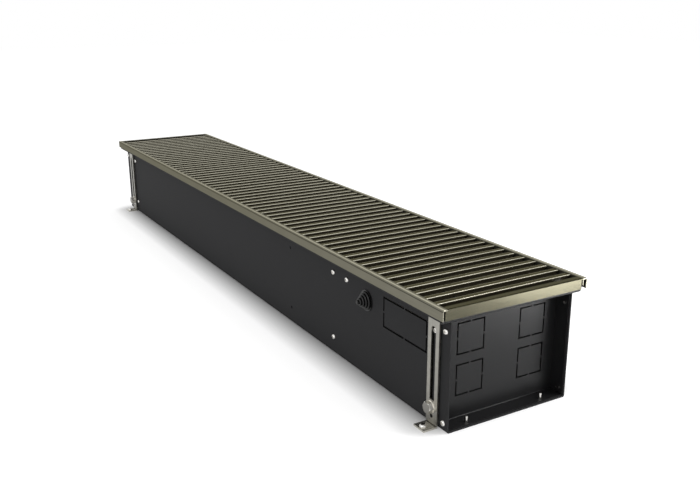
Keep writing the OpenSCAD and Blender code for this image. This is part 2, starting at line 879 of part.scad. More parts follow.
// Scroll housing from x0 to x1, with cheeks at its ends and a bush seat in the outer one
module fan_housing(x0, x1, outer_x) {
    low = sheet_t - fan_z;
    color(zinc) translate([0, fan_y, fan_z]) difference() {
        union() {
            along_x(x0 - cheek_t, x1 + cheek_t) scroll_section();
            for (x = [x0 - cheek_t, x1]) along_x(x, x + cheek_t) cheek_section();
            box(x0 - cheek_foot, x0, -cheek_front, mouth_y - fan_y, low, low + cheek_t);
            box(x1, x1 + cheek_foot, -cheek_front, mouth_y - fan_y, low, low + cheek_t);
        }
        rod_x(outer_x - cheek_foot, outer_x + cheek_foot, bush_d + 2 * tube_fit);
    }
}

housing_near = roller_near - cheek_clear;
housing_far = roller_far + cheek_clear;
module fan_housing_right() {
    fan_housing(motor_x + housing_near, motor_x + housing_far, motor_x + housing_far);
}

module fan_housing_left() {
    fan_housing(motor_x - housing_far, motor_x - housing_near, motor_x - housing_far);
}

module bearing_bushes() {
    x = housing_far + cheek_t / 2;
    color(rubber) for (side = [-1, 1]) translate([motor_x + side * x, fan_y, fan_z]) difference() {
        rod_x(-bush_l / 2, bush_l / 2, bush_d);
        rod_x(-bush_l, bush_l, shaft_d + 2 * shaft_fit);
    }
}

module fan_motor() {
    color(plastic_grey) translate([motor_x, fan_y, fan_z]) difference() {
        union() {
            rod_x(-motor_l / 2, motor_l / 2, motor_d - 2 * motor_rib);
            for (i = [-2:2]) translate([i * motor_l / 6, 0, 0])
                rod_x(-motor_l / 20, motor_l / 20, motor_d);
            rod_x(-motor_l / 2 - boss_l, motor_l / 2 + boss_l, boss_d);
        }
        rod_x(-motor_l, motor_l, shaft_d + 2 * shaft_fit);
    }
}

// Cradle on the trough floor, hollowed to the motor's round
module motor_cradle() {
    top = fan_z - motor_d / 2 + cradle_wrap;
    color(zinc) difference() {
        translate([motor_x, fan_y, 0]) difference() {
            box(-cradle_l / 2, cradle_l / 2, -cradle_w / 2, cradle_w / 2, sheet_t, top);
            box(-cradle_l / 2 + cradle_wall, cradle_l / 2 - cradle_wall, -cradle_w / 2 - cut,
                cradle_w / 2 + cut, sheet_t + cradle_wall, top + cut);
        }
        translate([motor_x, fan_y, fan_z]) rod_x(-motor_l, motor_l, motor_d + 2 * tube_fit);
    }
}

module fan_shaft() {
    color(steel) translate([motor_x, fan_y, fan_z])
        rod_x(-roller_far - shaft_over, roller_far + shaft_over, shaft_d);
}

// One blade's section, bowed forward between the roller's inner and outer radius
module blade_section() {
    r0 = roller_d / 2 - blade_depth;
    n = 3;
    line = [for (i = [0:n]) let (s = i / n, r = r0 + blade_depth * s,
        a = blade_sweep * s * s) [r * cos(a), r * sin(a)]];
    back = [for (i = [0:n]) let (s = i / n, r = r0 + blade_depth * s,
        a = blade_sweep * s * s + blade_t / r0 * 180 / PI) [r * cos(a), r * sin(a)]];
    polygon(concat(line, reversed(back)));
}

module fan_roller(x0) {
    chamber = (roller_l - disc_t) / roller_chambers;
    color(plastic_grey) translate([x0, fan_y, fan_z]) union() {
        for (i = [0:blade_count - 1]) along_x(0, roller_l) rotate(i * 360 / blade_count) blade_section();
        for (i = [0:roller_chambers]) translate([i * chamber, 0, 0]) difference() {
            rod_x(0, disc_t, roller_d);
            if (i > 0 && i < roller_chambers)
                rod_x(-cut, disc_t + cut, roller_d - 4 * blade_depth);
            else
                rod_x(-cut, disc_t + cut, shaft_d + 2 * tube_fit);
        }
    }
}

module fan_roller_right() {
    fan_roller(motor_x + roller_near);
}

module fan_roller_left() {
    fan_roller(motor_x - roller_far);
}

module terminal_box() {
    y0 = -inner_y;
    color(plastic_grey) difference() {
        box(box_x, box_x + box_l, y0, y0 + box_w, box_z, box_z + box_h);
        box(box_x + box_wall, box_x + box_l - box_wall, y0 + box_wall, y0 + box_w + cut,
            box_z + box_wall, box_z + box_h - box_wall);
        translate([box_screw_x, 0, screw_high_z]) rod_y(-half_w, y0 + box_wall + cut, shank_d + 2 * tube_fit);
    }
}

module terminal_box_lid() {
    y0 = -inner_y + box_w;
    inset = box_wall + fit;
    color(plastic_grey) union() {
        box(box_x, box_x + box_l, y0, y0 + box_lid_t, box_z, box_z + box_h);
        box(box_x + inset, box_x + box_l - inset, y0 - box_lid_lip, y0,
            box_z + inset, box_z + box_h - inset);
    }
}

// Valve body on a lower tube end, its axis along X and its bonnet up
valve_x = bay_web_x + valve_gap + nut_l;
valve_z = exchanger_z - row_z;
module valve(y) {
    color(nickel) translate([valve_x, y, valve_z]) difference() {
        union() {
            rod_x(0, valve_l, valve_d);
            translate([valve_l / 2, 0, 0]) cylinder(h = bonnet_up, d = bonnet_d);
            rod_x(valve_l, valve_l + neck_l, neck_d);
            rod_x(valve_l + neck_l, valve_l + neck_l + tail_l, tail_d);
        }
        rod_x(-cut, bay_web_x + tube_out - valve_x, tube_d + 2 * tube_fit);
        rod_x(valve_l, valve_l + neck_l + tail_l + cut, tail_bore_d);
    }
}

module supply_valve() {
    valve(exchanger_y - row_y);
}

module return_valve() {
    valve(exchanger_y + row_y);
}

// Fluted hand cap that turns on the supply valve's bonnet
module supply_valve_knob() {
    color(plastic_white) translate([valve_x + valve_l / 2, exchanger_y - row_y, valve_z + bonnet_up + knob_gap])
        difference() {
            union() {
                cylinder(h = knob_h - rim_h, d = knob_d);
                cylinder(h = knob_h, d = knob_d - 2 * rim_h);
            }
            for (i = [0:knob_flutes - 1]) rotate([0, 0, i * 360 / knob_flutes])
                translate([knob_d / 2 + knob_flute_d / 4, 0, -cut])
                    cylinder(h = knob_h + 2 * cut, d = knob_flute_d);
        }
}

module return_valve_cap() {
    color(nickel) translate([valve_x + valve_l / 2, exchanger_y + row_y, valve_z + bonnet_up]) union() {
        hex_head(cap_af, cap_h);
        cylinder(h = rim_h, d = cap_d);
    }
}

// Hexagon union nuts that draw the tube ends into the valves
module union_nuts() {
    color(nickel) for (y = [-row_y, row_y]) translate([valve_x - nut_l, exchanger_y + y, valve_z])
        difference() {
            rotate([0, 90, 0]) cylinder(h = nut_l, d = nut_af / cos(30), $fn = 6);
            rod_x(-cut, nut_l + cut, tube_d + 2 * tube_fit);
        }
}

trough_shell();
end_plate_right();
end_plate_left();
frame_side_front();
frame_side_rear();
frame_end_right();
frame_end_left();
grille_seat_strips();
grille_bars();
grille_link_springs();
grille_spacers();
at_front_right() foot_rail();  // foot_rail_front_right
at_front_left() foot_rail();  // foot_rail_front_left
at_rear_right() foot_rail();  // foot_rail_rear_right
at_rear_left() foot_rail();  // foot_rail_rear_left
at_front_right() foot();  // foot_front_right
at_front_left() foot();  // foot_front_left
at_rear_right() foot();  // foot_rear_right
at_rear_left() foot();  // foot_rear_left
at_front_right() foot_clamp();  // foot_clamp_front_right
at_front_left() foot_clamp();  // foot_clamp_front_left
at_rear_right() foot_clamp();  // foot_clamp_rear_right
at_rear_left() foot_clamp();  // foot_clamp_rear_left
at_front_right() anchor_screw();  // anchor_screw_front_right
at_front_left() anchor_screw();  // anchor_screw_front_left
at_rear_right() anchor_screw();  // anchor_screw_rear_right
at_rear_left() anchor_screw();  // anchor_screw_rear_left
rail_screws();
end_plate_screws();
partition_screws();
cable_gland();
partition_right();
partition_left();
exchanger_fins();
exchanger_tubes();
air_vent();
bleed_screw();
fan_housing_right();
fan_housing_left();
fan_motor();
motor_cradle();
bearing_bushes();
fan_shaft();
fan_roller_right();
fan_roller_left();
terminal_box();
terminal_box_lid();
supply_valve();
supply_valve_knob();
return_valve();
return_valve_cap();
union_nuts();
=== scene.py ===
"""Looks of a trench convector heater: its finishes, the studio and the camera."""

import logging
import math
from abc import ABC, abstractmethod
from dataclasses import dataclass, field
from enum import Enum
from typing import Mapping, Optional, Union

import bmesh
import bpy
from mathutils import Matrix, Vector


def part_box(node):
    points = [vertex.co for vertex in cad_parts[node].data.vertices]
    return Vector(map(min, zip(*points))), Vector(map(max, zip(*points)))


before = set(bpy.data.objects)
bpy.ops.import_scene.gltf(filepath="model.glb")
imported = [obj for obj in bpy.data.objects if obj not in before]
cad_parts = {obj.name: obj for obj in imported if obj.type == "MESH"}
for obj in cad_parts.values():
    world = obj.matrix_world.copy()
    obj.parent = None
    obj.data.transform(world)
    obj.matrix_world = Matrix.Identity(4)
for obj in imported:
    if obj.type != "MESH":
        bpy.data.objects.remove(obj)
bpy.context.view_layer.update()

MM = 0.001

Colour = tuple[float, float, float]
Point = tuple[float, float, float]
Span = tuple[float, float]
Term = Union["Socket", float]
Tint = Union["Socket", Colour]
Input = Union["Socket", float, Colour]

BLACK: Colour = (0.0, 0.0, 0.0)
WHITE: Colour = (1.0, 1.0, 1.0)
UNSTRETCHED: Point = (1.0, 1.0, 1.0)

log = logging.getLogger("trench_heater")


class Axis(Enum):
    """A direction in the heater's own frame."""

    X = (1.0, 0.0, 0.0)
    Y = (0.0, 1.0, 0.0)
    Z = (0.0, 0.0, 1.0)


def linear(level: int) -> float:
    """Return the linear share of one display level, from 0 to 255, by the sRGB curve."""
    share = level / 255
    return share / 12.92 if share <= 0.04045 else ((share + 0.055) / 1.055) ** 2.4


def paint(red: int, green: int, blue: int) -> Colour:
    """Turn a display colour into the linear one that shaders use.

    Args:
        red: Red from 0 to 255.
        green: Green from 0 to 255.
        blue: Blue from 0 to 255.

    Returns:
        The same colour as linear shares.
    """
    return (linear(red), linear(green), linear(blue))


def shade(colour: Colour, share: float) -> Colour:
    """Lighten or darken a colour.

    Args:
        colour: The linear colour.
        share: What each channel is multiplied by.

    Returns:
        The new linear colour, at most white.
    """
    red, green, blue = (min(1.0, channel * share) for channel in colour)
    return (red, green, blue)


class Socket:
    """A shader socket that Python's operators work on."""

    def __init__(self, graph: "Graph", link: bpy.types.NodeSocket) -> None:
        """Keep the graph and the output socket."""
        self.graph = graph
        self.link = link

    def __add__(self, other: Term) -> "Socket":
        """Add."""
        return self.graph.maths("ADD", self, other)

    def __radd__(self, other: Term) -> "Socket":
        """Add this to a number."""
        return self.graph.maths("ADD", other, self)

    def __sub__(self, other: Term) -> "Socket":
        """Subtract."""
        return self.graph.maths("SUBTRACT", self, other)

    def __rsub__(self, other: Term) -> "Socket":
        """Subtract this from a number."""
        return self.graph.maths("SUBTRACT", other, self)

    def __mul__(self, other: Term) -> "Socket":
        """Multiply."""
        return self.graph.maths("MULTIPLY", self, other)

    def __rmul__(self, other: Term) -> "Socket":
        """Multiply a number by this."""
        return self.graph.maths("MULTIPLY", other, self)

    def size(self) -> "Socket":
        """Return the value without its sign."""
        return self.graph.maths("ABSOLUTE", self)

    def over(self, limit: float) -> "Socket":
        """Return 1 where the value is over the limit, and else 0."""
        return self.graph.maths("GREATER_THAN", self, limit)

    def limited(self) -> "Socket":
        """Return the value held between 0 and 1."""
        return self.graph.add("ShaderNodeClamp", {}, {"Value": self})

    def between(self, low: float, high: float) -> "Socket":
        """Stretch the values from low to high to 0 to 1.

        Args:
            low: The value that becomes 0.
            high: The value that becomes 1.

        Returns:
            The stretched and limited value.
        """
        return self.graph.add("ShaderNodeMapRange", {"clamp": True},
                              {"Value": self, "From Min": low, "From Max": high})


class Graph:
    """The node tree of a material or of the world, written as sums."""

    def __init__(self, owner: Union[bpy.types.Material, bpy.types.World]) -> None:
        """Empty the owner's node tree and start on it."""
        owner.use_nodes = True
        self.tree = owner.node_tree
        self.tree.nodes.clear()

    def node(self, kind: str, settings: Mapping[str, object],
             values: Mapping[Union[int, str], Input]) -> bpy.types.Node:
        """Add any node.

        Args:
            kind: The node's type.
            settings: Its own properties, set first.
            values: What goes into its sockets, by name or number: numbers, colours or links.

        Returns:
            The node.
        """
        node = self.tree.nodes.new(kind)
        for name, setting in settings.items():
            setattr(node, name, setting)
        for name, value in values.items():
            target = node.inputs[name]
            if isinstance(value, Socket):
                self.tree.links.new(value.link, target)
            elif target.type == "RGBA":
                target.default_value = (*value, 1.0)
            else:
                target.default_value = value
        return node

    def add(self, kind: str, settings: Mapping[str, object],
            values: Mapping[Union[int, str], Input], output: Union[int, str] = 0) -> Socket:
        """Add a node, as node() does, and return one of its outputs.

        Args:
            kind: The node's type.
            settings: Its own properties.
            values: What goes into its sockets.
            output: The name or number of the output.

        Returns:
            That output.
        """
        return Socket(self, self.node(kind, settings, values).outputs[output])

    def maths(self, operation: str, *terms: Term) -> Socket:
        """Add a Math node.

        Args:
            operation: The Math node's operation.
            terms: Its inputs in order.

        Returns:
            The node's output.
        """
        return self.add("ShaderNodeMath", {"operation": operation}, dict(enumerate(terms)))

    def place(self, stretch: Point = UNSTRETCHED) -> Socket:
        """Return the point's place on the heater, with each axis multiplied by stretch."""
        place = self.add("ShaderNodeTexCoord", {}, {}, "Object")
        return self.add("ShaderNodeMapping", {}, {"Vector": place, "Scale": stretch})

    def axis(self, axis: Axis) -> Socket:
        """Return the point's place along one axis of the heater, in metres."""
        return self.add("ShaderNodeSeparateXYZ", {}, {"Vector": self.place()}, axis.name)

    def noise(self, size: float, detail: float = 2.0, stretch: Point = UNSTRETCHED) -> Socket:
        """Add smooth noise.

        Args:
            size: The width of its patches in metres.
            detail: How many finer layers it has.
            stretch: What each axis is multiplied by; under 1 makes streaks along it.

        Returns:
            The noise from 0 to 1.
        """
        return self.add("ShaderNodeTexNoise", {},
                        {"Vector": self.place(stretch), "Scale": 1 / size, "Detail": detail})

    def mix(self, share: Term, first: Tint, second: Tint) -> Socket:
        """Mix two colours.

        Args:
            share: How much of the second colour, from 0 to 1.
            first: A colour or a link.
            second: A colour or a link.

        Returns:
            The mixed colour.
        """
        # The node's sockets for numbers, vectors and colours share their names.
        share_socket, first_socket, second_socket, colour_output = 0, 6, 7, 2
        return self.add("ShaderNodeMix", {"data_type": "RGBA"},
                        {share_socket: share, first_socket: first, second_socket: second},
                        colour_output)

    def bump(self, height: Socket, depth: float) -> Socket:
        """Return the normal of a surface with that height map, depth metres deep."""
        return self.add("ShaderNodeBump", {},
                        {"Height": height, "Strength": 1.0, "Distance": depth})

    def seen(self) -> Socket:
        """Return 1 for a ray from the camera, a reflection or a clear body, and else 0."""
        camera, glossy, through = (
            self.add("ShaderNodeLightPath", {}, {}, kind)
            for kind in ("Is Camera Ray", "Is Glossy Ray", "Is Transmission Ray"))
        return (camera + glossy + through).limited()

    def surface(self, values: Mapping[str, Input]) -> None:
        """Finish a material with a Principled shader that takes these values."""
        shader = self.add("ShaderNodeBsdfPrincipled", {}, values)
        self.node("ShaderNodeOutputMaterial", {}, {"Surface": shader})


@dataclass(frozen=True)
class Blemish:
    """Spots or patches where a finish is lighter or darker than its colour.

    They fade in between two values of a noise, cover what is under them by their share, and
    multiply the finish's colour by their level.
    """

    fade: Span
    share: float
    level: float

    def laid(self, graph: Graph, noise: Socket, under: Tint, colour: Colour) -> Socket:
        """Lay the blemishes over a finish.

        Args:
            graph: The material's node tree.
            noise: Where they are.
            under: The colour so far.
            colour: The finish's own colour.

        Returns:
            The colour with them.
        """
        return graph.mix(noise.between(*self.fade) * self.share, under, shade(colour, self.level))


@dataclass(frozen=True)
class Finish(ABC):
    """A finish of one colour, made once and shared by its pieces."""

    name: str
    colour: Colour
    roughness: float

    @abstractmethod
    def dress(self, graph: Graph) -> None:
        """Build the finish's nodes in graph."""

    def material(self) -> bpy.types.Material:
        """Return this finish's material, made on the first call."""
        name = f"finish_{self.name}"
        material = bpy.data.materials.get(name)
        if material is None:
            material = bpy.data.materials.new(name)
            self.dress(Graph(material))
        return material

    def drifting(self, graph: Graph, share: Socket, levels: Span) -> Socket:
        """Let the colour drift between two shades of itself.

        Args:
            graph: The material's node tree.
            share: How far it has drifted, from 0 to 1.
            levels: What the colour is multiplied by at 0 and at 1.

        Returns:
            The drifting colour.
        """
        low, high = (shade(self.colour, level) for level in levels)
        return graph.mix(share, low, high)

    def rough(self, *swings: tuple[Socket, float]) -> Term:
        """Let the roughness swing to both sides of its own value.

        Args:
            swings: Maps from 0 to 1, each with how far it makes the roughness swing.

        Returns:
            The roughness over the surface.
        """
        roughness: Term = self.roughness - sum(width for _, width in swings) / 2
        for share, width in swings:
            roughness = share * width + roughness
        return roughness


@dataclass(frozen=True)
class SlitShade:
    """Painted shade along the slits of one knock-out, or of four in two rows, wider than the
    slits.

    Places are along the plate and in height, measured to the slits' middle.
    """

    along: Axis
    centre: Span
    spread: Span
    half: Span
    tab: float = 1.2 * MM
    reach: float = 1.35 * MM

    def share(self, graph: Graph) -> Socket:
        """Return 1 at the slits and 0 away from them."""
        along, height = graph.axis(self.along), graph.axis(Axis.Z)
        if self.along is Axis.Y:
            # The left end plate is the right one after a half turn.
            along = along * graph.maths("SIGN", graph.axis(Axis.X))
        across, up = (((place - centre).size() - spread).size()
                      for place, centre, spread in zip((along, height), self.centre, self.spread))
        upright = self._line(across, self.half[0]) * self._stretch(up, self.half[1])
        level = self._line(up, self.half[1]) * self._stretch(across, self.half[0])
        share = graph.maths("MAXIMUM", upright, level)
        if self.along is Axis.X:
            # Only the front wall has this knock-out.
            share = share * (1.0 - graph.axis(Axis.Y).over(0.0))
        return share

    def _line(self, place: Socket, half: float) -> Socket:
        """Return 1 where the place is near the slit's middle."""
        return 1.0 - (place - half).size().over(self.reach)

    def _stretch(self, place: Socket, half: float) -> Socket:
        """Return 1 along the slit, between its tab and its corner."""
        return place.over(self.tab) * (1.0 - place.over(half + self.reach))


@dataclass(frozen=True)
class PowderCoat(Finish):
    """Baked powder paint: fine orange peel, a slow wave in the sheet and a little dust."""

    peel_size: float = 1.6 * MM
    peel_depth: float = 0.02 * MM
    wave_size: float = 160 * MM
    wave_depth: float = 0.12 * MM
    drift: Span = (0.85, 1.15)
    dust: Blemish = Blemish((0.66, 0.74), 0.35, 1.9)
    rough_swing: float = 0.06
    sheen: float = 0.06
    # Where given, painted shade along knock-out slits, in the colour on the next line.
    edge: Optional[SlitShade] = None
    slit_shade: Colour = paint(4, 4, 4)

    def dress(self, graph: Graph) -> None:
        """Build the paint: colour drift, peel and wave, and painted shade along the knock-outs'
        slits.
        """
        drift = graph.noise(self.wave_size, detail=3.0)
        speck = graph.noise(self.peel_size)
        wave = graph.noise(self.wave_size, detail=1.0) * (self.wave_depth / self.peel_depth)
        colour = self.drifting(graph, drift, self.drift)
        colour = self.dust.laid(graph, speck, colour, self.colour)
        # Painted shade: the knock-outs' slits drawn as dark strips.
        if self.edge is not None:
            colour = graph.mix(self.edge.share(graph), colour, self.slit_shade)
        graph.surface({
            "Base Color": colour,
            "Roughness": self.rough((drift, self.rough_swing)),
            "Specular IOR Level": self.sheen,
            "Normal": graph.bump(speck + wave, self.peel_depth),
        })


@dataclass(frozen=True)
class Anodised(Finish):
    """Bronze anodised aluminium: drawn lines along the profile and a soft satin sheen."""

    along: Axis = Axis.X
    line_size: float = 0.5 * MM
    line_stretch: float = 0.012
    line_depth: float = 0.008 * MM
    line_fade: Span = (0.3, 0.7)
    line_levels: Span = (0.86, 1.12)
    cloud_size: float = 45 * MM
    cloud: Blemish = Blemish((0.35, 0.75), 0.3, 0.82)
    rough_fade: Span = (0.2, 0.8)
    rough_swings: Span = (0.1, 0.06)
    metal: float = 0.96
    rim_tint: Colour = (0.5, 0.49, 0.43)
    gloss: float = 0.5

    def dress(self, graph: Graph) -> None:
        """Build the metal: die lines, cloudy dye, and painted highlights and shade laid on by
        each profile.
        """
        x, y, z = (self.line_stretch if share else 1.0 for share in self.along.value)
        lines = graph.noise(self.line_size, detail=3.0, stretch=(x, y, z))
        cloud = graph.noise(self.cloud_size)
        colour = self.drifting(graph, lines.between(*self.line_fade), self.line_levels)
        colour, metal = self.paint_light_and_shade(graph, self.cloud.laid(graph, cloud, colour, self.colour))
        line_swing, cloud_swing = self.rough_swings
        graph.surface({
            "Base Color": colour,
            "Metallic": metal,
            "Specular Tint": self.rim_tint,
            "Specular IOR Level": self.gloss,
            "Roughness": self.rough((lines.between(*self.rough_fade), line_swing),
                                    (cloud, cloud_swing)),
            "Normal": graph.bump(lines, self.line_depth),
        })

    @abstractmethod
    def paint_light_and_shade(self, graph: Graph, colour: Socket) -> tuple[Socket, Term]:
        """Paint highlights and shade over the metal.

        Args:
            graph: The material's node tree.
            colour: The colour of the clean profile.

        Returns:
            The colour with them, and the metallic share.
        """


@dataclass(frozen=True)
class AnodisedRim(Anodised):
    """The frame profiles' finish: a painted highlight on the top, and painted shade lines beside
    it.

    The highlight and the shade line on the top are measured inwards from the frame's outer face,
    and the shade line in that face is measured down from the top. A line from 0 to 0 isn't there.
    """

    highlight_strip: Span = (0.3 * MM, 3.9 * MM)
    highlight_level: float = 2.8
    top_shade_line: Span = (0.0, 0.0)
    face_shade_line: Span = (1.0 * MM, 2.1 * MM)
    shade_line_level: float = 0.2
    fade: float = 0.4 * MM
    skin: float = 0.6 * MM

    def paint_light_and_shade(self, graph: Graph, colour: Socket) -> tuple[Socket, Term]:
        """Return the colour with the painted shade lines and the painted highlight, and the
        metallic share.
        """
        across, node = ((Axis.Y, "frame_side_rear") if self.along is Axis.X
                        else (Axis.X, "frame_end_right"))
        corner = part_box(node)[1]
        inward = corner[list(Axis).index(across)] - graph.axis(across).size()
        down = corner[2] - graph.axis(Axis.Z)
        top, face = (1.0 - place.over(self.skin) for place in (down, inward))
        # Each stretch paints light or shade into the colour: a highlight on the top, dark lines
        # for grooves.
        for place, (start, end), side, level in (
                (inward, self.highlight_strip, top, self.highlight_level),
                (inward, self.top_shade_line, top, self.shade_line_level),
                (down, self.face_shade_line, face, self.shade_line_level)):
            share = place.between(start, start + self.fade) - place.between(end, end + self.fade)
            colour = graph.mix(share * side, colour, shade(self.colour, level))
        return colour, self.metal


@dataclass(frozen=True)
class AnodisedBar(Anodised):
    """The grille bars' finish: painted highlights on the top edges, and painted light and shade
    on the sides.

    The edges are measured across a bar from its middle, and the depths down from its top.
    """

    pitch: float = 20 * MM
    edge: Span = (2.9 * MM, 3.2 * MM)
    cap_depth: Span = (0.4 * MM, 0.25 * MM)
    low_depth: Span = (2.2 * MM, 1.3 * MM)
    # Patches that break up the painted edge highlight.
    highlight_patch_size: float = 12 * MM
    highlight_patch_stretch: Point = (1.0, 0.4, 1.0)
    highlight_patch_fade: Span = (0.1, 0.6)
    highlight_patch_share: float = 0.25
    # The painted highlight on the top edges.
    edge_highlight: Colour = paint(202, 199, 182)
    # Painted shade on the sides just under the top.
    side_shade: Colour = paint(50, 46, 36)
    # A lighter colour lower on the sides: painted light in the gaps between the bars.
    low: Colour = paint(88, 82, 66)

    def paint_light_and_shade(self, graph: Graph, colour: Socket) -> tuple[Socket, Term]:
        """Return the colour and the metallic share, with painted highlights at the top edges and
        painted light and shade on the sides.
        """
        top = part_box("grille_bars")[1][2]
        height = graph.axis(Axis.Z)
        cap, middle = (height.between(*(top - depth for depth in depths))
                       for depths in (self.cap_depth, self.low_depth))
        # The bars stand at whole pitches from the middle, so with a half added the fraction runs
        # evenly to both sides of each.
        half = 0.5
        pitches = graph.axis(Axis.X) * (1 / self.pitch) + half
        aside = (graph.maths("FRACT", pitches) - half).size() * self.pitch
        highlight_patches = graph.noise(self.highlight_patch_size, detail=3.0, stretch=self.highlight_patch_stretch)
        highlight_patches = highlight_patches.between(*self.highlight_patch_fade) * self.highlight_patch_share + (1.0 - self.highlight_patch_share)
        # Painted highlight along both top edges.
        edge_highlight = graph.mix(aside.between(*self.edge) * cap * highlight_patches, colour, self.edge_highlight)
        # Painted shade under the top, turning to painted light lower down.
        side = graph.mix(middle, self.low, self.side_shade)
        return graph.mix(cap, side, edge_highlight), cap * self.metal


@dataclass(frozen=True)
class Galvanised(Finish):
    """Hot-dip galvanised sheet: spangles of slightly different greys."""

    spangle: float = 5 * MM
    spangle_levels: Span = (0.9, 1.07)
    spangle_rise: float = 0.6
    grain_size: float = 0.7 * MM
    grain_depth: float = 0.008 * MM
    patch_size: float = 30 * MM
    patch: Blemish = Blemish((0.45, 0.75), 0.25, 0.78)
    rough_swings: Span = (0.08, 0.06)
    metal: float = 0.92
    # Where given, the height above which painted shade is laid, in the colour on the next line.
    shaded_above: Optional[float] = None
    upper_shade: Colour = paint(58, 55, 46)

    def dress(self, graph: Graph) -> None:
        """Build the zinc: spangles, grain and darker patches, and painted shade above a height,
        where given.
        """
        cell = graph.add("ShaderNodeTexVoronoi", {},
                         {"Vector": graph.place(), "Scale": 1 / self.spangle}, "Color")
        level = graph.add("ShaderNodeSeparateColor", {}, {"Color": cell})
        grain = graph.noise(self.grain_size)
        patch = graph.noise(self.patch_size, detail=3.0)
        colour = self.drifting(graph, level, self.spangle_levels)
        colour = self.patch.laid(graph, patch, colour, self.colour)
        # Painted shade: above the given height the colour turns dark.
        if self.shaded_above is not None:
            colour = graph.mix(graph.axis(Axis.Z).over(self.shaded_above), colour, self.upper_shade)
        level_swing, grain_swing = self.rough_swings
        graph.surface({
            "Base Color": colour,
            "Metallic": self.metal,
            "Roughness": self.rough((level, level_swing), (grain, grain_swing)),
            "Normal": graph.bump(grain + level * self.spangle_rise, self.grain_depth),
        })


@dataclass(frozen=True)
class Plated(Finish):
    """Bright plated or machined metal with fine turning marks and small stains."""

    thread: Optional[float] = None
    thread_depth: float = 0.3 * MM
    thread_along: Axis = Axis.Z
    thread_share: float = 0.5
    grain_size: float = 0.35 * MM
    grain_depth: float = 0.01 * MM
    stain_size: float = 9 * MM
    stain: Blemish = Blemish((0.5, 0.8), 0.5, 0.7)
    rough_swings: Span = (0.1, 0.1)
    # Where given, painted shade on what lies farther than this from the middle across the heater.
    shaded_face_from: Optional[float] = None
    head_face_shade: Colour = paint(132, 130, 125)

    def dress(self, graph: Graph) -> None:
        """Build the metal, with rings where a thread's pitch is given, and painted shade on the
        outward face where given.
        """
        grain = graph.noise(self.grain_size)
        stain = graph.noise(self.stain_size, detail=3.0)
        height = grain * (self.grain_depth / self.thread_depth)
        if self.thread is not None:
            turn = graph.axis(self.thread_along) * (2 * math.pi / self.thread)
            height = height + graph.maths("SINE", turn) * self.thread_share
        colour: Tint = self.stain.laid(graph, stain, self.colour, self.colour)
        # Painted shade: the outward face drawn darker than the lit sides.
        if self.shaded_face_from is not None:
            colour = graph.mix(graph.axis(Axis.Y).size().over(self.shaded_face_from), colour, self.head_face_shade)
        grain_swing, stain_swing = self.rough_swings
        graph.surface({
            "Base Color": colour,
            "Metallic": 1.0,
            "Roughness": self.rough((grain, grain_swing), (stain, stain_swing)),
            "Normal": graph.bump(height, self.thread_depth),
        })


@dataclass(frozen=True)
class Moulded(Finish):
    """Moulded plastic or rubber: fine texture, slight sheen and a soft bloom."""

    texture_size: float = 0.6 * MM
    texture_depth: float = 0.02 * MM
    bloom_size: float = 14 * MM
    bloom: Blemish = Blemish((0.4, 0.8), 0.6, 1.3)
    rough_swing: float = 0.12
    sheen: float = 0.3

    def dress(self, graph: Graph) -> None:
        """Build the plastic: texture and bloom."""
        texture = graph.noise(self.texture_size)
        cloud = graph.noise(self.bloom_size)
        graph.surface({
            "Base Color": self.bloom.laid(graph, cloud, self.colour, self.colour),
            "Roughness": self.rough((texture, self.rough_swing)),
            "Specular IOR Level": self.sheen,
            "Normal": graph.bump(texture, self.texture_depth),
        })


# Where the painted shade of the knock-out slits lies, on the front wall and on the end plates.
WALL_SLIT_SHADE = SlitShade(Axis.X, centre=(529.0 * MM, 103.0 * MM), spread=(0.0, 0.0),
                             half=(45.1 * MM, 19.1 * MM))
END_SLIT_SHADES = SlitShade(Axis.Y, centre=(2.95 * MM, 76.3 * MM),
                             spread=(46.35 * MM, 25.9 * MM), half=(19.1 * MM, 19.1 * MM))

BLACK_COAT = PowderCoat("black_powder_coat", paint(52, 52, 53), 0.68, edge=WALL_SLIT_SHADE)
# A darker copy of the trough's black coat: painted shade on the end plates, which the floor_glow
# lamp lights.
END_COAT = PowderCoat("black_powder_coat_end", paint(27, 27, 28), 0.34, sheen=0.22,
                      edge=END_SLIT_SHADES)
BRONZE_LONG = AnodisedRim("bronze_anodised_long", paint(114, 112, 101), 0.34, Axis.X)
# A darker copy of the frames' bronze: painted shade on the end profiles, under the floor_glow
# lamp's reflection.
BRONZE_CROSS = AnodisedRim("bronze_anodised_cross", paint(75, 73, 61), 0.2, Axis.Y,
                           highlight_strip=(2.6 * MM, 8.0 * MM), highlight_level=1.2,
                           top_shade_line=(0.9 * MM, 2.4 * MM), face_shade_line=(0.0, 0.0),
                           shade_line_level=0.35)
# A darker copy of the frames' bronze: painted shade on the bars' tops.
BRONZE_BAR = AnodisedBar("bronze_anodised_bar", paint(80, 77, 63), 0.24, Axis.Y, gloss=0.08)
GALVANISED = Galvanised("galvanised_sheet", paint(148, 146, 139), 0.32)
# The foot's upright stands behind the rail above 33 mm and gets painted shade there.
FOOT_ZINC = Galvanised("foot_zinc", paint(192, 189, 180), 0.26, shaded_above=33 * MM)
SCREW_ZINC = Plated("screw_zinc", paint(214, 212, 208), 0.12)
